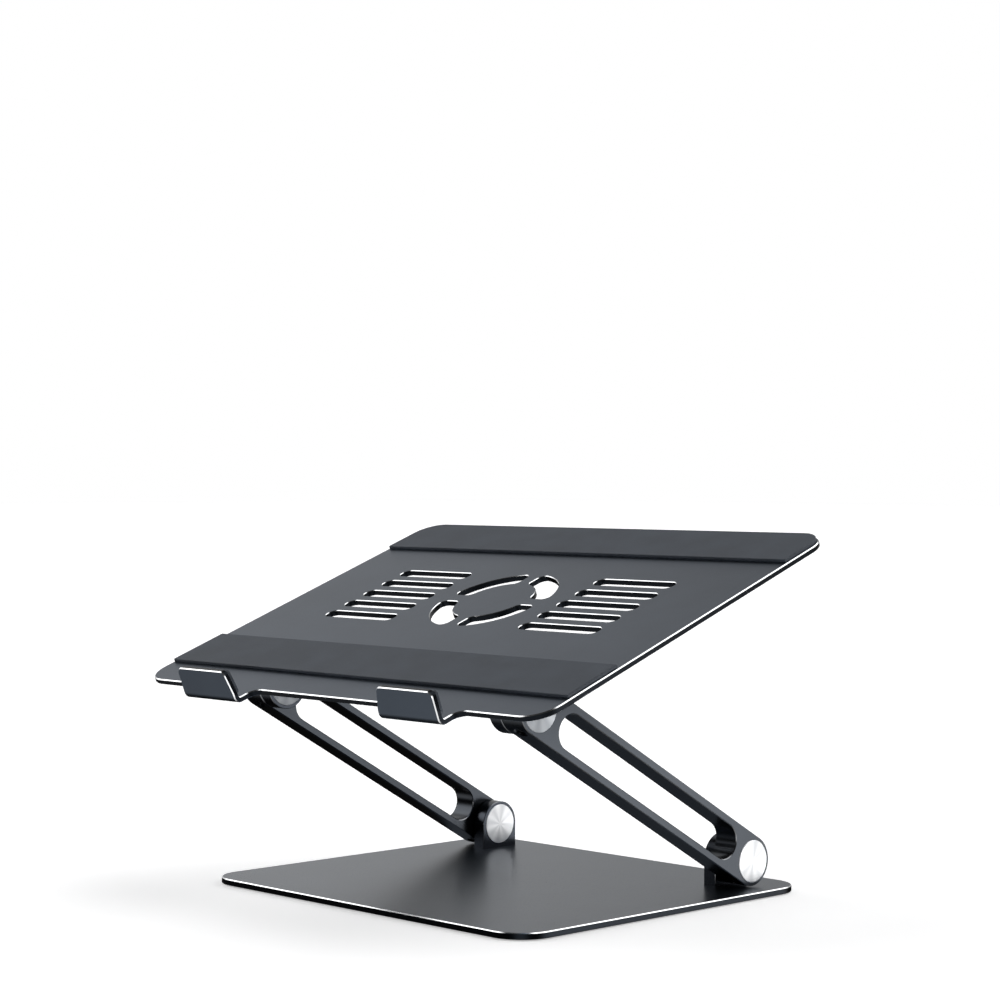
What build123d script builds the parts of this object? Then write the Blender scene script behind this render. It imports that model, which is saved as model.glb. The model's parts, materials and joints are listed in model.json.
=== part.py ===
"""Folding laptop stand: a base plate, two slotted arms and a tilting tray with front hooks.

Frame: +X to the right of the person at the laptop, +Y to the back, +Z up.
The origin is on the table, under the middle of the base plate. Sizes are in millimetres.
The stand is drawn half open: the arms lean forward and the tray slopes up to the back.
"""
import math
import os

from build123d import *

# ---------------------------------------------------------------- driving dimensions
base_width = 230.0
base_depth = 205.0
base_thickness = 3.2
base_corner_r = 18.0
plate_cut = 0.45              # bright cut edge round both plates

strip_width = 200.0           # three anti-slip strips under the base
strip_depth = 11.0
strip_thickness = 1.0
strip_proud = 0.5             # how far a strip stands out of its recess
strip_pitch = 94.5

pivot_y = 75.5                # lower hinge line
pivot_z = 16.7
head_r = 12.5                 # round ends of the posts, arms and brackets

arm_length = 176.0            # hinge line to hinge line
arm_angle = 29.5              # above the table
arm_slot_width = 17.6
arm_slot_end = 16.0           # from a hinge line to the end of the slot
arm_cut = 0.4

cheek_in = 80.5               # faces of a post or bracket, from the middle of the stand
cheek_out = 88.2
cheek_cut = 0.3
arm_in = 88.7
arm_out = 102.3

tray_angle = 20.5             # slope of the tray, up to the back
tray_width = 290.0
tray_depth = 218.0
tray_thickness = 2.9
tray_corner_r = 14.5
tray_drop = 14.4              # hinge line to the underside of the tray
tray_lead = 40.3              # front edge to the hinge line, along the tray

pad_thickness = 1.9
pad_inset = 1.0
pad_edge_r = 0.35
front_pad_start = 20.6        # along the tray, from its front edge
front_pad_end = 54.8
rear_pad_start = 182.3

hook_width = 40.8
hook_x = 73.4
hook_reach = 12.9             # front edge of the tray to the front of the hook
hook_height = 17.4            # over the underside of the tray
hook_lean = 3.5               # how far the inner side leans out above its knee
hook_knee = 5.4
hook_knee_r = 8.0
hook_corner_r = 3.3
hook_bend_r = 3.9
hook_root_r = 5.5
liner_thickness = 1.9
liner_inset = 0.9             # from the sides and top of the hook
liner_start = 4.2             # over the underside of the tray
liner_corner_r = 2.0

vent_length = 52.8
vent_width = 8.2
vent_x = 72.6
vent_pitch = 14.2
vent_rows = 5
vent_middle = 121.0           # along the tray, from its front edge
vent_cut = 0.3
ring_outer_r = 34.0
ring_inner_r = 22.0
ring_web = 8.0
ring_slot_r = 3.5

cap_r = 10.75                 # turned discs that close the hinges
cap_thickness = 1.3
cap_recess = 1.0
cap_gap = 0.05

pin_r = 4.0
pin_head_r = 7.0
pin_head_thickness = 2.7
pin_socket_flats = 5.0
thread_r = 3.5
running_gap = 0.05
bush_r = 5.0
nut_flats = 13.0
nut_thickness = 2.2
nut_recess_r = 8.2
nut_recess_depth = 3.5
spring_r = 7.0
spring_thickness = 0.7
washer_r = 10.0
washer_thickness = 0.4
set_screw_r = 2.5
set_screw_x = 95.5
set_screw_length = 7.0
set_screw_flats = 2.5
set_screw_mouth_r = 3.6

post_screw_r = 2.0
post_screw_head_r = 3.7
post_screw_length = 9.9
post_screw_offset = 8.5
bracket_screw_r = 1.5
bracket_screw_head_r = 2.8
bracket_screw_length = 7.6
bracket_screw_offset = 8.0
screw_flats_ratio = 1.25      # socket across flats over the thread's radius
screw_clearance = 0.1

# ---------------------------------------------------------------- places worked out from them
base_bottom = strip_proud
base_top = base_bottom + base_thickness
cheek_middle = (cheek_in + cheek_out) / 2
cheek_thickness = cheek_out - cheek_in
cap_floor = cheek_in + cap_recess
nut_floor = cap_floor + nut_recess_depth
pin_head_seat = arm_out - cap_recess - pin_head_thickness - 0.3

arm_cos = math.cos(math.radians(arm_angle))
arm_sin = math.sin(math.radians(arm_angle))
tray_cos = math.cos(math.radians(tray_angle))
tray_sin = math.sin(math.radians(tray_angle))

upper_y = pivot_y - arm_length * arm_cos
upper_z = pivot_z + arm_length * arm_sin
lower_hinge = (pivot_y, pivot_z)
upper_hinge = (upper_y, upper_z)
hinges = (lower_hinge, upper_hinge)
arm_middle = ((pivot_y + upper_y) / 2, (pivot_z + upper_z) / 2)

# The tray's underside, from its front edge: X across and Y up the slope.
tray_front = (
    0,
    upper_y - tray_drop * tray_sin - tray_lead * tray_cos,
    upper_z + tray_drop * tray_cos - tray_lead * tray_sin,
)
tray_up = (0, -tray_sin, tray_cos)
tray_back = (0, tray_cos, tray_sin)
tray_floor = Plane(origin=tray_front, x_dir=(1, 0, 0), z_dir=tray_up)
tray_top = tray_floor.offset(tray_thickness)
tray_side = Plane(origin=tray_front, x_dir=tray_back, z_dir=(1, 0, 0))
hook_back = Plane(
    origin=tray_floor.from_local_coords((0, tray_thickness - hook_reach, 0)),
    x_dir=(1, 0, 0),
    z_dir=(0, -tray_cos, -tray_sin),
)
under_base = Plane(origin=(0, 0, base_bottom), x_dir=(1, 0, 0), z_dir=(0, 0, -1))


def side_plane(x):
    """The plane across the stand at x: its own X runs along +Y and its own Y along +Z."""
    return Plane.YZ.offset(x)


def write(piece, name):
    """Name a finished piece and write it to its file."""
    piece.part.label = name
    export_step(piece.part, f"parts/{name}.step")


def right_and_left(half):
    """The right-hand pieces with their mirror images on the left."""
    with BuildPart() as pair:
        add(half)
        mirror(half, about=Plane.YZ)
    return pair


def left_of(right):
    """The left-hand twin of a right-hand piece."""
    with BuildPart() as twin:
        mirror(right.part, about=Plane.YZ)
    return twin


def set_screw_plane(hinge, reach):
    """The plane across a set screw of the right arm, at a distance from its hinge line."""
    foot = Plane(origin=(set_screw_x, *hinge), x_dir=(1, 0, 0), z_dir=(0, -arm_sin, -arm_cos))
    return foot.offset(reach)


def discs(x, radius, thickness, places, hole_r=0.0, edge=0.0):
    """Flat round plates on the hinge lines, from x outwards, with an optional hole and edge."""
    with BuildPart() as plates:
        with BuildSketch(side_plane(x)):
            with Locations(*places):
                Circle(radius)
                if hole_r:
                    Circle(hole_r, mode=Mode.SUBTRACT)
        extrude(amount=thickness)
        if edge:
            rims = plates.edges().filter_by(GeomType.CIRCLE).filter_by(
                lambda rim: abs(rim.radius - radius) < 0.01
            )
            chamfer(rims, edge)
    return plates.part


def countersunk_screw(radius, head_r, length):
    """A countersunk socket screw with its flat face at Z = 0, pointing down."""
    cone = head_r - radius
    with BuildPart() as screw:
        with BuildSketch(Plane.XZ):
            with BuildLine():
                Polyline(
                    (0, 0), (head_r, 0), (head_r, -screw_clearance), (radius, -screw_clearance - cone),
                    (radius, -length + 0.4), (radius - 0.4, -length), (0, -length), close=True,
                )
            make_face()
        revolve(axis=Axis.Z)
        with BuildSketch():
            RegularPolygon(radius * screw_flats_ratio / 2, 6, major_radius=False)
        extrude(amount=-cone, mode=Mode.SUBTRACT)
    return screw.part


def cheek_bores(hinge):
    """Cut the cap recess, the nut recess and the bush bore of a post or bracket."""
    for x, radius, depth in (
        (cheek_in, cap_r + cap_gap, cap_recess),
        (cap_floor, nut_recess_r, nut_recess_depth),
        (nut_floor, bush_r, cheek_out - nut_floor),
    ):
        with BuildSketch(side_plane(x)) as bore:
            with Locations(hinge):
                Circle(radius)
        extrude(bore.sketch, amount=depth, mode=Mode.SUBTRACT)


os.makedirs("parts", exist_ok=True)

# ---------------------------------------------------------------- base plate and strips
post_screw_places = [
    (side * cheek_middle, pivot_y + step * post_screw_offset)
    for side in (-1, 1)
    for step in (-1, 1)
]

with BuildPart() as base_plate:
    with BuildSketch(Plane.XY.offset(base_bottom)):
        RectangleRounded(base_width, base_depth, base_corner_r)
    extrude(amount=base_thickness)
    chamfer(base_plate.faces().sort_by(Axis.Z)[-1].edges(), plate_cut)
    chamfer(base_plate.faces().sort_by(Axis.Z)[0].edges(), 0.3)
    with BuildSketch(Plane.XY.offset(base_bottom)):
        with GridLocations(0, strip_pitch, 1, 3):
            SlotOverall(strip_width, strip_depth)
    extrude(amount=strip_thickness - strip_proud, mode=Mode.SUBTRACT)
    with Locations(under_base):
        with Locations(*[(x, -y) for x, y in post_screw_places]):
            CounterSinkHole(
                post_screw_r + screw_clearance,
                post_screw_head_r + screw_clearance,
                depth=base_thickness,
                counter_sink_angle=90,
            )
write(base_plate, "base_plate")

with BuildPart() as base_strips:
    with BuildSketch():
        with GridLocations(0, strip_pitch, 1, 3):
            SlotOverall(strip_width, strip_depth)
    extrude(amount=strip_thickness)
    chamfer(base_strips.faces().group_by(Axis.Z)[0].edges(), 0.2)
write(base_strips, "base_anti_slip_strips")

# ---------------------------------------------------------------- posts
with BuildPart() as right_post:
    with BuildSketch(side_plane(cheek_in)):
        with Locations(lower_hinge):
            Circle(head_r)
        with Locations((pivot_y, (base_top + pivot_z) / 2)):
            Rectangle(2 * head_r, pivot_z - base_top)
    extrude(amount=cheek_thickness)
    outline = right_post.faces().filter_by(Axis.X).edges()
    chamfer(outline.filter_by(lambda edge: edge.center().Z > base_top + 0.1), cheek_cut)
    cheek_bores(lower_hinge)
    with Locations(Plane.XY.offset(base_top).rotated((180, 0, 0))):
        with Locations(*[(x, -y) for x, y in post_screw_places if x > 0]):
            Hole(post_screw_r, depth=post_screw_length - base_thickness + 0.2)
write(right_post, "right_post")

left_post = left_of(right_post)
write(left_post, "left_post")

with BuildPart() as post_screws:
    screw = countersunk_screw(post_screw_r, post_screw_head_r, post_screw_length)
    with Locations(under_base):
        with Locations(*[(x, -y) for x, y in post_screw_places]):
            add(screw)
write(post_screws, "post_screws")

# ---------------------------------------------------------------- arms
with BuildPart() as right_arm:
    with BuildSketch(side_plane(arm_in)):
        with Locations(arm_middle):
            SlotCenterToCenter(arm_length, 2 * head_r, rotation=-arm_angle)
            SlotOverall(
                arm_length - 2 * arm_slot_end,
                arm_slot_width,
                rotation=-arm_angle,
                mode=Mode.SUBTRACT,
            )
    extrude(amount=arm_out - arm_in)
    chamfer(right_arm.faces().filter_by(Axis.X).edges(), arm_cut)
    for x, radius in (
        (arm_in, pin_r),
        (pin_head_seat, pin_head_r + cap_gap),
        (arm_out - cap_recess, cap_r + cap_gap),
    ):
        with BuildSketch(side_plane(x)):
            with Locations(*hinges):
                Circle(radius)
        extrude(amount=arm_out - x, mode=Mode.SUBTRACT)
    for hinge in hinges:
        with BuildSketch(set_screw_plane(hinge, 0)):
            Circle(set_screw_r)
        extrude(amount=head_r + 1, mode=Mode.SUBTRACT)
        with BuildSketch(set_screw_plane(hinge, head_r - 0.6)):
            Circle(set_screw_mouth_r)
        extrude(amount=1.6, mode=Mode.SUBTRACT)
write(right_arm, "right_arm")

left_arm = left_of(right_arm)
write(left_arm, "left_arm")

with BuildPart() as right_set_screws:
    for hinge in hinges:
        with BuildSketch(set_screw_plane(hinge, pin_r)):
            Circle(set_screw_r)
        extrude(amount=set_screw_length)
        with BuildSketch(set_screw_plane(hinge, pin_r + set_screw_length)):
            RegularPolygon(set_screw_flats / 2, 6, major_radius=False)
        extrude(amount=-set_screw_length / 2, mode=Mode.SUBTRACT)
write(right_set_screws, "right_arm_set_screws")

left_set_screws = left_of(right_set_screws)
write(left_set_screws, "left_arm_set_screws")

# ---------------------------------------------------------------- hinge pins and what is on them
with BuildPart() as right_pins:
    add(discs(cap_floor + 0.3, thread_r, nut_floor - cap_floor - 0.4, hinges))
    add(discs(nut_floor - 0.1, pin_r, pin_head_seat - nut_floor + 0.1, hinges))
    add(discs(pin_head_seat, pin_head_r, pin_head_thickness, hinges, edge=0.4))
    with BuildSketch(side_plane(pin_head_seat + pin_head_thickness)):
        with Locations(*hinges):
            RegularPolygon(pin_socket_flats / 2, 6, major_radius=False)
    extrude(amount=-pin_head_thickness + 0.4, mode=Mode.SUBTRACT)
write(right_pins, "right_hinge_pins")

with BuildPart() as right_nuts:
    with BuildSketch(side_plane(nut_floor - 0.1 - spring_thickness - nut_thickness)):
        with Locations(*hinges):
            RegularPolygon(nut_flats / 2, 6, major_radius=False)
            Circle(thread_r, mode=Mode.SUBTRACT)
    extrude(amount=nut_thickness)
write(right_nuts, "right_hinge_nuts")

with BuildPart() as right_springs:
    add(discs(nut_floor - 0.1 - spring_thickness, spring_r, spring_thickness, hinges, thread_r))
write(right_springs, "right_spring_washers")

with BuildPart() as right_arm_caps:
    add(discs(arm_out - cap_recess, cap_r, cap_thickness, hinges, edge=0.25))
write(right_arm_caps, "right_arm_caps")

write(left_of(right_pins), "left_hinge_pins")
write(left_of(right_nuts), "left_hinge_nuts")
write(left_of(right_springs), "left_spring_washers")
write(left_of(right_arm_caps), "left_arm_caps")

for owner, hinge in (("post", lower_hinge), ("bracket", upper_hinge)):
    bush = discs(nut_floor, bush_r, cheek_out - nut_floor, [hinge], pin_r + running_gap)
    washer = discs(cheek_out, washer_r, washer_thickness, [hinge], bush_r)
    cap = discs(cap_floor - cap_thickness, cap_r, cap_thickness, [hinge], edge=0.25)
    write(right_and_left(bush), f"{owner}_bushes")
    write(right_and_left(washer), f"{owner}_friction_washers")
    write(right_and_left(cap), f"{owner}_caps")

# ---------------------------------------------------------------- tray
bracket_screw_places = [
    (side * cheek_middle, tray_lead + step * bracket_screw_offset)
    for side in (-1, 1)
    for step in (-1, 1)
]


def local_y(shape):
    """Distance of a shape's middle up the tray, from its front edge."""
    return tray_floor.to_local_coords(shape.center()).Y


def local_x(shape):
    """Distance of a shape's middle to the right of the tray's middle."""
    return tray_floor.to_local_coords(shape.center()).X


def height(shape):
    """Height of a shape's middle over the tray's underside."""
    return tray_floor.to_local_coords(shape.center()).Z


def tray_skins(plate):
    """The two large faces of the tray: its underside and its top."""
    flat = plate.faces().filter_by(Axis(tray_front, tray_up)).sort_by(SortBy.AREA)[-2:]
    return flat.sort_by(Axis(tray_front, tray_up))


with BuildPart() as tray_plate:
    with BuildSketch(tray_floor):
        with Locations((0, tray_depth / 2)):
            RectangleRounded(tray_width, tray_depth, tray_corner_r)
    extrude(amount=tray_thickness)
    for side in (-1, 1):
        with BuildSketch(tray_side.offset(side * hook_x - hook_width / 2)):
            with BuildLine():
                bend = (hook_bend_r - hook_reach, hook_bend_r)
                inner_r = hook_bend_r - tray_thickness
                Line((1, 0), (bend[0], 0))
                CenterArc(bend, hook_bend_r, 180, 90)
                Line((-hook_reach, bend[1]), (-hook_reach, hook_height))
                Line((-hook_reach, hook_height), (tray_thickness - hook_reach, hook_height))
                Line((tray_thickness - hook_reach, hook_height), (tray_thickness - hook_reach, bend[1]))
                CenterArc(bend, inner_r, 180, 90)
                Line((bend[0], tray_thickness), (1, tray_thickness))
                Line((1, tray_thickness), (1, 0))
            make_face()
        extrude(amount=hook_width)
        with BuildSketch(hook_back.offset(-1)):
            inner_x = side * (hook_x - hook_width / 2)
            with BuildLine():
                Polyline(
                    (inner_x, hook_knee),
                    (inner_x + side * hook_lean, hook_height),
                    (inner_x + side * hook_lean, hook_height + 1),
                    (inner_x - side, hook_height + 1),
                    (inner_x - side, hook_knee),
                    close=True,
                )
            make_face()
        extrude(amount=tray_thickness + 2, mode=Mode.SUBTRACT)
    across = tray_plate.edges().filter_by(Axis(tray_front, tray_back))
    fillet(across.filter_by(lambda edge: height(edge) > hook_height - 0.01), hook_corner_r)
    fillet(across.filter_by(lambda edge: abs(height(edge) - hook_knee) < 0.01), hook_knee_r)
    upright = tray_plate.edges().filter_by(Axis(tray_front, tray_up))
    fillet(
        upright.filter_by(lambda edge: abs(local_y(edge)) < 0.01 and abs(local_x(edge)) < 100),
        hook_root_r,
    )
    for skin in (1, 0):
        chamfer(tray_skins(tray_plate)[skin].outer_wire().edges(), plate_cut)
    with BuildSketch(tray_floor):
        for side in (-1, 1):
            for row in range(vent_rows):
                y = vent_middle + (row - (vent_rows - 1) / 2) * vent_pitch
                with Locations((side * vent_x, y)):
                    SlotOverall(vent_length, vent_width)
    extrude(amount=tray_thickness, mode=Mode.SUBTRACT)
    with BuildSketch(tray_floor) as ring:
        with Locations((0, vent_middle)):
            Circle(ring_outer_r)
            Circle(ring_inner_r, mode=Mode.SUBTRACT)
            Rectangle(2 * ring_outer_r, ring_web, mode=Mode.SUBTRACT)
            Rectangle(ring_web, 2 * ring_outer_r, mode=Mode.SUBTRACT)
        fillet(ring.vertices(), ring_slot_r)
    extrude(amount=tray_thickness, mode=Mode.SUBTRACT)
    chamfer(tray_skins(tray_plate)[1].inner_wires().edges(), vent_cut)
    with Locations(tray_top):
        with Locations(*bracket_screw_places):
            CounterSinkHole(
                bracket_screw_r + screw_clearance,
                bracket_screw_head_r + screw_clearance,
                depth=tray_thickness,
                counter_sink_angle=90,
            )
write(tray_plate, "tray_plate")

with BuildPart() as front_pad:
    with BuildSketch(tray_top):
        with Locations((0, (front_pad_start + front_pad_end) / 2)):
            Rectangle(tray_width - 2 * pad_inset, front_pad_end - front_pad_start)
    extrude(amount=pad_thickness)
    fillet(front_pad.faces().sort_by(Axis(tray_front, tray_up))[-1].edges(), pad_edge_r)
write(front_pad, "front_pad")

with BuildPart() as rear_pad:
    with BuildSketch(tray_top):
        with Locations((0, tray_depth / 2)):
            RectangleRounded(
                tray_width - 2 * pad_inset,
                tray_depth - 2 * pad_inset,
                tray_corner_r - pad_inset,
            )
        with Locations((0, rear_pad_start / 2)):
            Rectangle(tray_width, rear_pad_start, mode=Mode.SUBTRACT)
    extrude(amount=pad_thickness)
    fillet(rear_pad.faces().sort_by(Axis(tray_front, tray_up))[-1].edges(), pad_edge_r)
write(rear_pad, "rear_pad")

with BuildPart() as hook_liners:
    with BuildSketch(hook_back):
        for side in (-1, 1):
            inner_x = side * (hook_x - hook_width / 2 + liner_inset)
            outer_x = side * (hook_x + hook_width / 2 - liner_inset)
            with BuildLine():
                Polyline(
                    (inner_x, liner_start),
                    (inner_x + side * hook_lean, hook_height - liner_inset),
                    (outer_x, hook_height - liner_inset),
                    (outer_x, liner_start),
                    close=True,
                )
            make_face()
    extrude(amount=-liner_thickness)
    fillet(hook_liners.edges().filter_by(Axis(tray_front, tray_back)), liner_corner_r)
    fillet(hook_liners.faces().sort_by(Axis(tray_front, tray_back))[-2:].edges(), 0.3)
write(hook_liners, "hook_liners")

# ---------------------------------------------------------------- brackets
with BuildPart() as right_bracket:
    with BuildSketch(tray_side.offset(cheek_in)):
        with Locations((tray_lead, -tray_drop)):
            Circle(head_r)
        with Locations((tray_lead, -tray_drop / 2)):
            Rectangle(2 * head_r, tray_drop)
    extrude(amount=cheek_thickness)
    outline = right_bracket.faces().filter_by(Axis.X).edges()
    chamfer(outline.filter_by(lambda edge: height(edge) < -0.1), cheek_cut)
    cheek_bores(upper_hinge)
    with Locations(tray_floor):
        with Locations(*[place for place in bracket_screw_places if place[0] > 0]):
            Hole(bracket_screw_r, depth=bracket_screw_length - tray_thickness + 0.2)
write(right_bracket, "right_bracket")
write(left_of(right_bracket), "left_bracket")

with BuildPart() as bracket_screws:
    screw = countersunk_screw(bracket_screw_r, bracket_screw_head_r, bracket_screw_length)
    with Locations(tray_top):
        with Locations(*bracket_screw_places):
            add(screw)
write(bracket_screws, "bracket_screws")
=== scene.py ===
"""Looks for the folding laptop stand: camera, light, materials and the soft pieces.

Everything is in metres in the stand's own frame: +X right, +Y back, +Z up,
with the origin on the table under the middle of the base plate.
"""
import json
import math

import bmesh
import bpy
from mathutils import Matrix, Vector


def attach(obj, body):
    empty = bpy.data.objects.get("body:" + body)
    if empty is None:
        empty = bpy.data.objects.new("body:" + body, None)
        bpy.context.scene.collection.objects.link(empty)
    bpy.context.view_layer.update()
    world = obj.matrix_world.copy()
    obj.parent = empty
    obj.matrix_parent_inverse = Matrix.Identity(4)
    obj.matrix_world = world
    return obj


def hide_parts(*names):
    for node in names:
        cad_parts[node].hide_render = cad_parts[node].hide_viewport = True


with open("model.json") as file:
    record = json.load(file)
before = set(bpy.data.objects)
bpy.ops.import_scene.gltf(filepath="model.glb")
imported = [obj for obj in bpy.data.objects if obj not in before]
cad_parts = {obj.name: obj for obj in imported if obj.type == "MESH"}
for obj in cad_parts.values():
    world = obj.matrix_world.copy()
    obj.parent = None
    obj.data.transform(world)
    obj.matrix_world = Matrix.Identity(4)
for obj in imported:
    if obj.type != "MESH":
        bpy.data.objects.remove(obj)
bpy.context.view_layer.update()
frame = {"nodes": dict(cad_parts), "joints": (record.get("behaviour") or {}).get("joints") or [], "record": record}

# ---------------------------------------------------------------- places taken from the frame
joints = {joint["name"]: joint for joint in frame["joints"]}
mounts = {mount["name"]: mount for mount in frame["record"]["mounts"]}
LOWER_HINGE = Vector(joints["left_arm_swing"]["pos_m"])
UPPER_HINGE = Vector(joints["tray_tilt"]["pos_m"])
TRAY_UP = Vector(mounts["laptop_rest"]["axis"]).normalized()
ACROSS = Vector((1, 0, 0))
TRAY_BACK = TRAY_UP.cross(ACROSS).normalized()

TRAY_DROP = 0.0144            # hinge line to the tray's underside
TRAY_LEAD = 0.0403            # hinge line to the tray's front edge
TRAY_THICKNESS = 0.0029
TRAY_WIDTH = 0.290
TRAY_DEPTH = 0.218
TRAY_CORNER_R = 0.0145
TRAY_FRONT = UPPER_HINGE + TRAY_UP * TRAY_DROP - TRAY_BACK * TRAY_LEAD
HOOK_BEND_START = -0.0090     # along the tray, where the hooks begin to bend
HOOK_BEND_TOP = 0.0040
HOOK_REACH = 0.0129           # front edge of the tray to the front of its hooks

# ---------------------------------------------------------------- camera
CAMERA_AT = Vector((0.8890, -0.8747, 0.2108))
CAMERA_AIM = Vector((0.0164, -0.0200, 0.1990))
CAMERA_ROLL = math.radians(0.18)
CAMERA_LENS = 87.5


def make_camera():
    data = bpy.data.cameras.new("camera")
    data.lens = CAMERA_LENS
    data.clip_start = 0.05
    data.clip_end = 60
    camera = bpy.data.objects.new("camera", data)
    bpy.context.scene.collection.objects.link(camera)
    aim = (CAMERA_AIM - CAMERA_AT).to_track_quat("-Z", "Y").to_matrix()
    aim = aim @ Matrix.Rotation(CAMERA_ROLL, 3, "Z")
    camera.matrix_world = Matrix.Translation(CAMERA_AT) @ aim.to_4x4()
    bpy.context.scene.camera = camera


make_camera()
bpy.context.scene.view_settings.view_transform = "Standard"

# ---------------------------------------------------------------- node helper
NOISE_RANGE = (0.3, 0.7)      # where most values of a noise texture lie


class Graph:
    """Short way to write a node tree: each call adds a node and links its inputs."""

    def __init__(self, tree):
        self.tree = tree
        tree.nodes.clear()
        coords = self.add("TexCoord").outputs
        self.at = coords["Object"]           # a point of the piece, in the stand's frame
        self.normal = coords["Normal"]
        self.towards = coords["Generated"]   # in a world: the direction looked in

    def add(self, kind, inputs=None, **settings):
        node = self.tree.nodes.new("ShaderNode" + kind)
        for name, value in settings.items():
            setattr(node, name, value)
        self.feed(node, inputs or {})
        return node

    def feed(self, node, inputs):
        """Link a node's inputs to sockets, or set them to plain values."""
        for key, value in inputs.items():
            socket = node.inputs[key]
            if isinstance(value, bpy.types.NodeSocket):
                self.tree.links.new(value, socket)
            else:
                socket.default_value = value

    def math(self, operation, a, b=0.0):
        return self.add("Math", {0: a, 1: b}, operation=operation).outputs[0]

    def dot(self, a, direction):
        node = self.add("VectorMath", {0: a, 1: tuple(direction)}, operation="DOT_PRODUCT")
        return node.outputs["Value"]

    def vector(self, operation, a, b=(0, 0, 0)):
        return self.add("VectorMath", {0: a, 1: b}, operation=operation).outputs[0]

    def noise(self, at, scale, detail=2.0, roughness=0.5):
        node = self.add(
            "TexNoise",
            {"Vector": at, "Scale": scale, "Detail": detail, "Roughness": roughness},
        )
        return node.outputs["Fac"]

    def ramp(self, value, low, high, to_low=0.0, to_high=1.0):
        node = self.add(
            "MapRange",
            {"Value": value, "From Min": low, "From Max": high,
             "To Min": to_low, "To Max": to_high},
        )
        return node.outputs["Result"]

    def spread(self, noise, to_low=0.0, to_high=1.0):
        """Noise, most of which lies around a half, spread over a whole range."""
        return self.ramp(noise, *NOISE_RANGE, to_low, to_high)

    def bump(self, height, strength, distance):
        inputs = {"Height": height, "Strength": strength, "Distance": distance}
        return self.add("Bump", inputs).outputs[0]

    def mix(self, factor, a, b):
        """A number between a and b."""
        return self.add("Mix", {0: factor, 2: a, 3: b}, data_type="FLOAT").outputs[0]

    def colour(self, factor, a, b):
        """A colour between a and b, each of them a plain colour or a socket."""
        a, b = ((*c, 1) if isinstance(c, tuple) else c for c in (a, b))
        return self.add("Mix", {0: factor, 6: a, 7: b}, data_type="RGBA").outputs[2]

    def length(self, a):
        return self.add("VectorMath", {0: a}, operation="LENGTH").outputs["Value"]

    def patch(self, direction, edge, core, strength, elsewhere=0.0):
        """A soft round patch of the sky towards a direction; edge and core are cosines."""
        return self.ramp(self.dot(self.towards, direction), edge, core, elsewhere, strength)


def new_material(name):
    """An empty material with its principled shader, ready to be fed."""
    material = bpy.data.materials.new(name)
    material.use_nodes = True
    graph = Graph(material.node_tree)
    shader = graph.add("BsdfPrincipled")
    graph.add("OutputMaterial", {"Surface": shader.outputs[0]})
    return material, graph, shader


def scaled(colour, share):
    return tuple(min(1.0, c * share) for c in colour)


# ---------------------------------------------------------------- materials
PLATE_COLOUR = (0.079, 0.095, 0.119)
# the arms, posts and brackets are a darker grey than the plates; part of that darkness is painted shade
ARM_COLOUR = (0.038, 0.042, 0.048)
POST_COLOUR = (0.036, 0.040, 0.048)
WALL_PAINTED_SHADE = 0.12             # painted shade: how much darker the plates' walls and undersides are coloured than their faces
PLATE_CUT = 0.9               # how much bare metal shows on the plates' cut edges
ARM_EDGE_SHEEN = 0.14                # painted highlight: the arms', posts' and brackets' chamfers are anodised like their faces, and this share of the bare-metal colour only brightens them
CUT_COLOUR = (0.83, 0.84, 0.85)
CUT_ROUGHNESS = 0.16
CUT_COSINE = 0.707            # a 45 degree cut edge, seen from the flat face beside it
CUT_FADE = (0.06, 0.10)       # how far off that a face stops counting as a cut edge
WALL_FADE = (0.3, 0.1)        # the flatness at which a face turns into a wall
RAY_COUNT = 8                 # painted reflection: faint rays round a turned disc, painted into its colour
RING_PITCH = 0.00022          # turning marks on a disc
# disc colours from the dark to the light side of the painted rays: the lower discs', and a darker copy for the
# upper discs as painted shade
BRIGHT_DISC = ((0.72, 0.73, 0.745), (0.92, 0.925, 0.935))
UPPER_DISC_SHADED = ((0.31, 0.325, 0.345), (0.39, 0.405, 0.425))
LOWER_REACH = 0.03            # a disc nearer than this to the lower hinge line is a bright one; the others get the darker colours of painted shade


def anodised(name, colour, roughness, flatness_of, cut_metal_and_sheen, painted_wall_shade=1.0):
    """Fine-blasted, dyed aluminium, with bare metal on the plates' cut edges, a painted highlight on the cut edges
    of the arms, posts and brackets, and painted shade on the plates' walls and undersides.
    """
    material, graph, shader = new_material(name)
    cloud = graph.noise(graph.at, 38.0, 3.0)
    grain = graph.noise(graph.at, 2600.0, 2.0, 0.6)
    tint = graph.colour(graph.spread(cloud), scaled(colour, 0.95), scaled(colour, 1.05))
    rough = graph.spread(grain, roughness - 0.03, roughness + 0.03)
    flatness = flatness_of(graph)
    # painted shade: the plates' walls and undersides get a darker colour, standing in for the shade they fall in
    wall = graph.ramp(flatness, *WALL_FADE)
    tint = graph.colour(wall, tint, scaled(colour, painted_wall_shade))
    # bare metal on the plates' cut edges; on the arms, posts and brackets a painted highlight
    cut = graph.math("MULTIPLY", cut_band(graph, flatness), cut_metal_and_sheen)
    graph.feed(shader, {
        "Base Color": graph.colour(cut, tint, CUT_COLOUR),
        "Roughness": graph.mix(cut, rough, CUT_ROUGHNESS),
        "Metallic": 1.0,
        "Normal": graph.bump(grain, 0.12, 0.00003),
    })
    return material


def cut_band(graph, flatness):
    """1 on a 45 degree cut edge, 0 on flat faces and walls."""
    off = graph.math("ABSOLUTE", graph.math("SUBTRACT", flatness, CUT_COSINE))
    return graph.ramp(off, *CUT_FADE, 1.0, 0.0)


def base_flatness(graph):
    """1 on the upper face of the base plate, 0.7 on its cut edge, 0 on its walls and underside."""
    return graph.math("MAXIMUM", graph.dot(graph.normal, (0, 0, 1)), 0.0)


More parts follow.
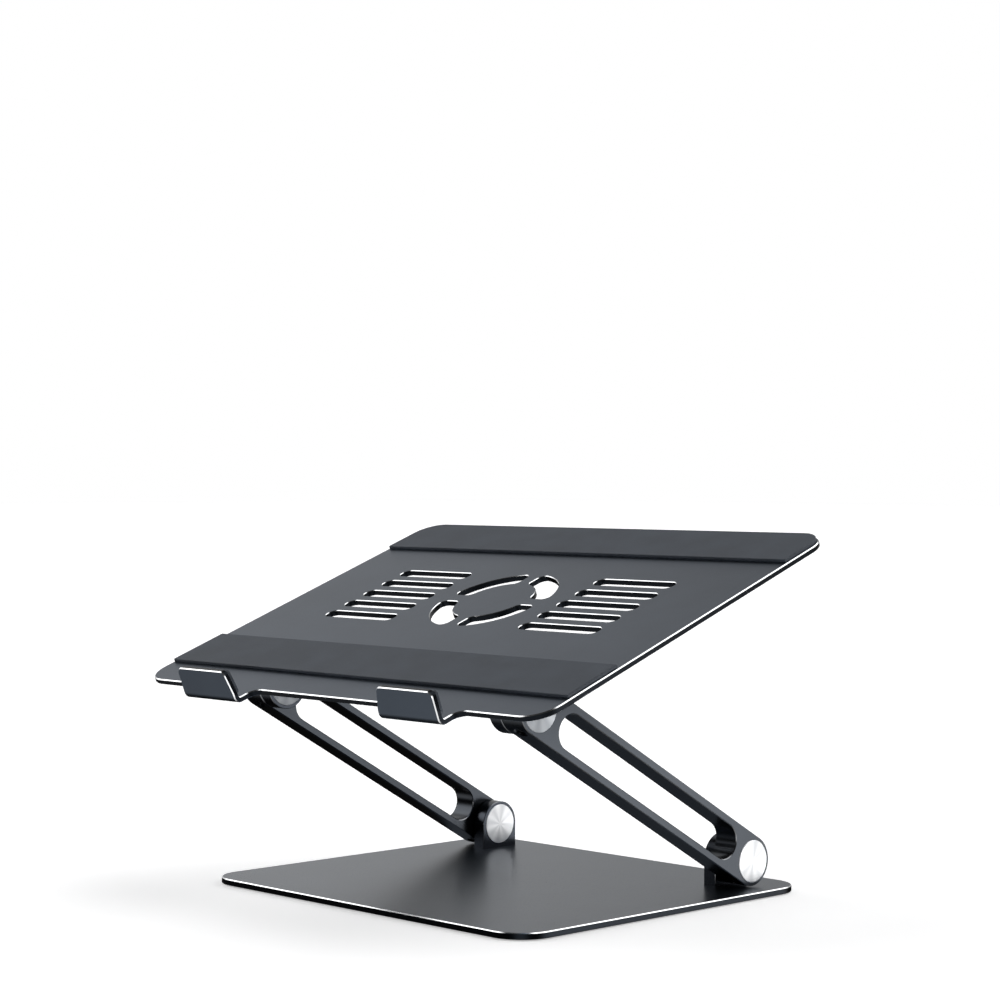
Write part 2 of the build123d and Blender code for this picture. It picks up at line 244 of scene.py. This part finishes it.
def tray_flatness(graph):
    """The same for the tray and its hooks: plate, bend and upright each have their own faces."""
    from_front = graph.vector("SUBTRACT", graph.at, tuple(TRAY_FRONT))
    along = graph.dot(from_front, TRAY_BACK)
    up = graph.dot(from_front, TRAY_UP)
    on_plate = graph.math("GREATER_THAN", along, HOOK_BEND_START)
    on_upright = graph.math("GREATER_THAN", up, HOOK_BEND_TOP)
    plate = graph.math("ABSOLUTE", graph.dot(graph.normal, TRAY_UP))
    upright = graph.math("ABSOLUTE", graph.dot(graph.normal, TRAY_BACK))
    side = graph.dot(graph.normal, ACROSS)
    bend = graph.math("SQRT", graph.math("SUBTRACT", 1.0, graph.math("MULTIPLY", side, side)))
    return graph.mix(on_plate, graph.mix(on_upright, bend, upright), plate)


def side_flatness(graph):
    """The same for a piece whose flat faces look to the left and right."""
    return graph.math("ABSOLUTE", graph.dot(graph.normal, ACROSS))


def turned(name):
    """Face-turned aluminium disc: fine rings round its middle that spread the light, with painted reflection rays
    in its colour; discs away from the lower hinge get a darker copy as painted shade.
    """
    material, graph, shader = new_material(name)
    from_lower, from_upper = (
        graph.vector("MULTIPLY", graph.vector("SUBTRACT", graph.at, tuple(hinge)), (0, 1, 1))
        for hinge in (LOWER_HINGE, UPPER_HINGE)
    )
    lower = graph.math("LESS_THAN", graph.length(from_lower), LOWER_REACH)
    radial = graph.add("Mix", {0: lower, 4: from_upper, 5: from_lower}, data_type="VECTOR").outputs[1]
    radius = graph.length(radial)
    tangent = graph.vector("NORMALIZE", graph.vector("CROSS_PRODUCT", radial, (1, 0, 0)))
    world_tangent = graph.add(
        "VectorTransform", {0: tangent},
        vector_type="VECTOR", convert_from="OBJECT", convert_to="WORLD",
    ).outputs[0]
    rings = graph.math("SINE", graph.math("MULTIPLY", radius, 2 * math.pi / RING_PITCH))
    wobble = graph.noise(graph.add("CombineXYZ", {0: radius}).outputs[0], 9000.0, 2.0)
    height = graph.math("ADD", graph.math("MULTIPLY", rings, 0.5), wobble)
    split = graph.add("SeparateXYZ", {0: radial})
    around = graph.math("ARCTAN2", split.outputs[2], split.outputs[1])
    # painted reflection: light and dark rays round the disc, put into its colour
    rays = graph.math("SINE", graph.math("MULTIPLY", around, RAY_COUNT))
    shade = graph.ramp(graph.math("ADD", rays, wobble), -0.6, 1.6)
    bright = graph.colour(shade, *BRIGHT_DISC)
    # painted shade: the discs at the upper hinge get darker colours
    shaded_disc = graph.colour(shade, *UPPER_DISC_SHADED)
    graph.feed(shader, {
        "Base Color": graph.colour(lower, shaded_disc, bright),
        "Roughness": 0.55,
        "Metallic": 1.0,
        "Anisotropic": 0.45,
        "Tangent": world_tangent,
        "Normal": graph.bump(height, 0.10, 0.00002),
    })
    return material


def silicone(name, colour, roughness):
    """Moulded silicone with a very fine matt skin."""
    material, graph, shader = new_material(name)
    skin = graph.noise(graph.at, 3400.0, 3.0, 0.65)
    cloud = graph.noise(graph.at, 55.0, 2.0)
    graph.feed(shader, {
        "Base Color": graph.colour(graph.spread(cloud), scaled(colour, 0.90), scaled(colour, 1.12)),
        "Roughness": graph.spread(skin, roughness - 0.06, roughness + 0.06),
        "Specular IOR Level": 0.45,
        "Normal": graph.bump(skin, 0.25, 0.00004),
    })
    return material


def steel(name, colour, roughness):
    """Turned and rolled steel parts, with faint streaks along the hinge lines."""
    material, graph, shader = new_material(name)
    stretched = graph.vector("MULTIPLY", graph.at, (0.15, 1, 1))
    streak = graph.noise(stretched, 1800.0, 3.0)
    graph.feed(shader, {
        "Base Color": graph.colour(graph.spread(streak), scaled(colour, 0.86), scaled(colour, 1.1)),
        "Roughness": graph.spread(streak, roughness - 0.06, roughness + 0.06),
        "Metallic": 1.0,
        "Normal": graph.bump(streak, 0.15, 0.00003),
    })
    return material


def plastic(name, colour):
    """Plain moulded plastic, for the bushes and washers."""
    material, graph, shader = new_material(name)
    grain = graph.noise(graph.at, 2200.0, 2.0)
    graph.feed(shader, {
        "Base Color": graph.colour(grain, scaled(colour, 0.94), colour),
        "Roughness": graph.spread(grain, 0.40, 0.50),
        "Normal": graph.bump(grain, 0.1, 0.00002),
    })
    return material


base_metal = anodised("anodised_base", PLATE_COLOUR, 0.30, base_flatness, PLATE_CUT, WALL_PAINTED_SHADE)
tray_metal = anodised("anodised_tray", PLATE_COLOUR, 0.36, tray_flatness, PLATE_CUT, WALL_PAINTED_SHADE)
arm_metal = anodised("anodised_arm", ARM_COLOUR, 0.24, side_flatness, ARM_EDGE_SHEEN)
post_metal = anodised("anodised_post", POST_COLOUR, 0.24, side_flatness, ARM_EDGE_SHEEN)
disc_metal = turned("turned_disc")
bright_steel = steel("bright_steel", (0.62, 0.62, 0.64), 0.30)
black_steel = steel("black_steel", (0.05, 0.05, 0.055), 0.40)
white_plastic = plastic("white_plastic", (0.78, 0.77, 0.73))
pad_rubber = silicone("pad_silicone", (0.039, 0.049, 0.065), 0.62)
foot_rubber = silicone("foot_silicone", (0.025, 0.025, 0.027), 0.7)

MATERIALS = {
    base_metal: ["base_plate"],
    tray_metal: ["tray_plate"],
    arm_metal: ["left_arm", "right_arm"],
    post_metal: ["left_post", "right_post", "left_bracket", "right_bracket"],
    disc_metal: ["left_arm_caps", "right_arm_caps", "post_caps", "bracket_caps"],
    bright_steel: ["left_hinge_pins", "right_hinge_pins", "left_hinge_nuts",
                   "right_hinge_nuts", "left_spring_washers", "right_spring_washers"],
    black_steel: ["post_screws", "bracket_screws", "left_arm_set_screws",
                  "right_arm_set_screws"],
    white_plastic: ["post_bushes", "bracket_bushes", "post_friction_washers",
                    "bracket_friction_washers"],
    pad_rubber: ["front_pad", "rear_pad", "hook_liners"],
    foot_rubber: ["base_anti_slip_strips"],
}

for material, names in MATERIALS.items():
    for name in names:
        for slot in frame["nodes"][name].material_slots:
            slot.material = material

# ---------------------------------------------------------------- soft pieces
CORNER_STEPS = 8
EDGE_STEPS = 4
FLAT_MARGIN = 0.0008          # flat ring between a rounded edge and the face inside it
SHARPEST_R = 0.00005
WALL_RING = 0.6               # height of the ring halfway up a slab's wall, as a share of the wall


def outline(corners, radii, inset):
    """A convex outline, moved inwards by inset, with its corners rounded."""
    count = len(corners)
    points = [Vector(corner) for corner in corners]
    lines = []
    for i, start in enumerate(points):
        along = (points[(i + 1) % count] - start).normalized()
        inward = Vector((-along.y, along.x))
        lines.append((start + inward * inset, along))
    ring = []
    for i in range(count):
        (p, u), (q, v) = lines[i - 1], lines[i]
        turn = u.x * v.y - u.y * v.x
        corner = p + u * (((q - p).x * v.y - (q - p).y * v.x) / turn)
        radius = max(radii[i] - inset, SHARPEST_R)
        angle = math.acos(max(-1.0, min(1.0, u.dot(v))))
        reach = radius * math.tan(angle / 2)
        middle = corner - u * reach + Vector((-u.y, u.x)) * radius
        first = math.atan2(-u.x, u.y)
        for k in range(CORNER_STEPS + 1):
            at = first + angle * k / CORNER_STEPS
            ring.append(middle + Vector((math.cos(at), math.sin(at))) * radius)
    return ring


def slab(name, shapes, origin, across, along, thickness, edge_r):
    """Flat moulded pieces with rounded upper edges, one for each outline."""
    out = across.cross(along)
    mesh = bpy.data.meshes.new(name)
    build = bmesh.new()
    profile = [(0.0, 0.0), (0.0, (thickness - edge_r) * WALL_RING)]
    for k in range(EDGE_STEPS + 1):
        turn = math.radians(90 * k / EDGE_STEPS)
        profile.append((edge_r * (1 - math.cos(turn)), thickness - edge_r * (1 - math.sin(turn))))
    profile.append((edge_r + FLAT_MARGIN, thickness))
    for corners, radii in shapes:
        rings = []
        for inset, height in profile:
            ring = outline(corners, radii, inset)
            rings.append([
                build.verts.new(origin + across * p.x + along * p.y + out * height) for p in ring
            ])
        size = len(rings[0])
        for lower, upper in zip(rings, rings[1:]):
            for i in range(size):
                j = (i + 1) % size
                build.faces.new((lower[i], lower[j], upper[j], upper[i]))
        build.faces.new(rings[-1])
        build.faces.new(reversed(rings[0]))
    for face in build.faces:
        face.smooth = len(face.verts) == 4
    build.to_mesh(mesh)
    build.free()
    piece = bpy.data.objects.new(name, mesh)
    bpy.context.scene.collection.objects.link(piece)
    return piece


def soft(piece, node, material, body):
    """Give a soft piece its material and let it stand in for its node."""
    piece.data.materials.append(material)
    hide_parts(node)
    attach(piece, body)


TRAY_TOP = TRAY_FRONT + TRAY_UP * TRAY_THICKNESS
PAD_INSET = 0.0010
PAD_HALF = TRAY_WIDTH / 2 - PAD_INSET
PAD_THICKNESS = 0.0019
PAD_EDGE_R = 0.00035
PAD_CORNER_R = 0.0003
FRONT_PAD = (0.0206, 0.0548)  # start and end along the tray
REAR_PAD = (0.1823, TRAY_DEPTH - PAD_INSET)
REAR_CORNER_R = TRAY_CORNER_R - PAD_INSET


def add_pad(node, reach, rear_corner_r):
    """One pad across the tray, between two distances from its front edge."""
    start, end = reach
    corners = [(-PAD_HALF, start), (PAD_HALF, start), (PAD_HALF, end), (-PAD_HALF, end)]
    radii = [PAD_CORNER_R, PAD_CORNER_R, rear_corner_r, rear_corner_r]
    pad = slab(
        node + "_skin", [(corners, radii)], TRAY_TOP, ACROSS, TRAY_BACK, PAD_THICKNESS, PAD_EDGE_R,
    )
    soft(pad, node, pad_rubber, "tray")


add_pad("front_pad", FRONT_PAD, PAD_CORNER_R)
add_pad("rear_pad", REAR_PAD, REAR_CORNER_R)

HOOK_X = 0.0734               # middle of a hook
HOOK_HALF = 0.0204            # half its width
HOOK_HEIGHT = 0.0174
LINER_INSET = 0.0009          # from the sides and top of the hook
LINER_LEAN = 0.0035           # how far the inner side leans outwards
LINER_FOOT = 0.0042
LINER_THICKNESS = 0.0019
LINER_CORNER_R = 0.0020
LINER_EDGE_R = 0.0003


def add_liners():
    """The liners on the backs of both hooks, as one piece."""
    back = TRAY_FRONT + TRAY_BACK * (TRAY_THICKNESS - HOOK_REACH)
    inner = HOOK_X - HOOK_HALF + LINER_INSET
    outer = HOOK_X + HOOK_HALF - LINER_INSET
    top = HOOK_HEIGHT - LINER_INSET
    shapes = []
    for side in (-1, 1):
        corners = [
            (side * inner, LINER_FOOT),
            (side * outer, LINER_FOOT),
            (side * outer, top),
            (side * (inner + LINER_LEAN), top),
        ]
        shapes.append((corners if side > 0 else corners[::-1], [LINER_CORNER_R] * 4))
    liners = slab(
        "hook_liner_skin", shapes, back, -ACROSS, TRAY_UP, LINER_THICKNESS, LINER_EDGE_R,
    )
    soft(liners, "hook_liners", pad_rubber, "tray")


add_liners()

STRIP_X = 0.100               # half the length of a strip
STRIP_Y = 0.0055              # half its width
STRIP_PITCH = 0.0945
STRIP_THICKNESS = 0.001
STRIP_EDGE_R = 0.0002
STRIP_END_R = STRIP_Y - 0.00002   # a hair under half the width, so that the ends keep a flat


def add_strips():
    """The three anti-slip strips under the base, as one piece."""
    shapes = []
    for row in (-1, 0, 1):
        low, high = row * STRIP_PITCH - STRIP_Y, row * STRIP_PITCH + STRIP_Y
        corners = [(-STRIP_X, low), (STRIP_X, low), (STRIP_X, high), (-STRIP_X, high)]
        shapes.append((corners, [STRIP_END_R] * 4))
    strips = slab(
        "anti_slip_skin", shapes, Vector((0, 0, STRIP_THICKNESS)), -ACROSS, Vector((0, 1, 0)),
        STRIP_THICKNESS, STRIP_EDGE_R,
    )
    soft(strips, "base_anti_slip_strips", foot_rubber, "base")


add_strips()

# ---------------------------------------------------------------- stage and light
FLOOR_REACH = 14.0
FLOOR_GLOW = 0.42
RIGHT_BACK = (0.714, 0.700, 0.0)

# soft patches of the room: direction, cosines at edge and core, strength, and strength elsewhere
LEFT_LAMP = ((-0.741, -0.395, 0.543), 0.85, 0.95, 2.4)
BACK_LAMP = ((0.330, 0.600, 0.730), 0.80, 0.92, 2.4)
HIGH_LAMP = ((-0.70, 0.26, 0.66), 0.955, 0.985, 0.45)
BACK_LEFT = ((-0.60, 0.80, 0.0), -0.05, 0.50, 1.0, 0.10)
FRONT_FLOOR = ((0, -1, 0), 0.20, 0.50, 1.15)
RIGHT_FLOOR = ((1, 0, 0), 0.20, 0.50, 0.95)
FRONT_GLINT = ((0.700, -0.695, -0.160), 0.93, 0.985, 2.0)
LOW_RIGHT = ((0.600, 0.600, -0.530), 0.85, 0.95, 4.8, 0.01)

# graded bands of the room: where they start and end, and the strength at each
LOW_WALL = (0.80, 0.10, 0.27, 0.75)      # by height: dim above, brighter near the horizon
SIDE_FALL = (-0.12, 0.12, 1.10, 0.70)    # by side: a little dimmer at the right
RIGHT_DARK = (0.50, 0.90, 1.0, 0.22)     # by side: much dimmer far round at the right
FLOOR_RISE = (-0.28, -0.45)              # by height: where the floor begins to give light back
HORIZON = (-0.06, 0.04)

CARD_AT = Vector((0.461, 0.102, 0.032))
CARD_AIM = Vector((0.175, -0.178, 0.032))
CARD_SIZE = (0.60, 0.06)
CARD_WATTS = 0.14


def make_floor():
    """A plain pale floor that the metal doesn't mirror."""
    mesh = bpy.data.meshes.new("floor")
    ends = (-FLOOR_REACH, FLOOR_REACH)
    corners = [(x, y, 0) for x in ends for y in ends]
    mesh.from_pydata(corners, [], [(0, 2, 3, 1)])
    floor = bpy.data.objects.new("floor", mesh)
    bpy.context.scene.collection.objects.link(floor)
    material, graph, shader = new_material("floor")
    graph.feed(shader, {
        "Base Color": (0.90, 0.90, 0.905, 1),
        "Roughness": 0.65,
        "Specular IOR Level": 0.2,
        "Emission Color": (1, 1, 1, 1),
        "Emission Strength": FLOOR_GLOW,
    })
    mesh.materials.append(material)
    floor.visible_glossy = False


def upper_light(graph, rise):
    """Above the horizon: a dim room, brightest low at the back left, with three soft lamps."""
    to_right = graph.dot(graph.towards, RIGHT_BACK)
    room = graph.math(
        "MULTIPLY",
        graph.math("MULTIPLY", graph.ramp(rise, *LOW_WALL), graph.ramp(to_right, *SIDE_FALL)),
        graph.patch(*BACK_LEFT),
    )
    room = graph.math("MULTIPLY", room, graph.ramp(to_right, *RIGHT_DARK))
    lamps = graph.math("ADD", graph.patch(*LEFT_LAMP), graph.patch(*BACK_LAMP))
    lamps = graph.math("ADD", lamps, graph.patch(*HIGH_LAMP))
    return graph.math("ADD", lamps, room)


def lower_light(graph, rise):
    """Below the horizon: what a pale floor gives back in front, at the right and in two glints."""
    floor = graph.math("MAXIMUM", graph.patch(*FRONT_FLOOR), graph.patch(*RIGHT_FLOOR))
    floor = graph.math("MULTIPLY", graph.ramp(rise, *FLOOR_RISE), floor)
    light = graph.math("ADD", floor, graph.patch(*FRONT_GLINT))
    return graph.math("ADD", light, graph.patch(*LOW_RIGHT))


def make_world():
    """A white backdrop to look at, and the studio's light on the stand."""
    world = bpy.data.worlds.new("studio")
    world.use_nodes = True
    graph = Graph(world.node_tree)
    rise = graph.dot(graph.towards, (0, 0, 1))
    light = graph.mix(graph.ramp(rise, *HORIZON), lower_light(graph, rise), upper_light(graph, rise))
    seen = graph.add("LightPath").outputs["Is Camera Ray"]
    strength = graph.mix(seen, light, 1.0)
    backdrop = graph.add("Background", {"Color": (1, 1, 1, 1), "Strength": strength})
    graph.add("OutputWorld", {"Surface": backdrop.outputs[0]})
    bpy.context.scene.world = world


def make_card():
    """A long low card of soft light at the right, seen only in the metal."""
    data = bpy.data.lights.new("right_card", "AREA")
    data.shape = "RECTANGLE"
    data.size, data.size_y = CARD_SIZE
    data.energy = CARD_WATTS
    card = bpy.data.objects.new("right_card", data)
    bpy.context.scene.collection.objects.link(card)
    card.location = CARD_AT
    card.rotation_mode = "QUATERNION"
    card.rotation_quaternion = (CARD_AIM - CARD_AT).to_track_quat("-Z", "Y")
    card.visible_camera = False
    card.visible_diffuse = False


make_floor()
make_world()
make_card()
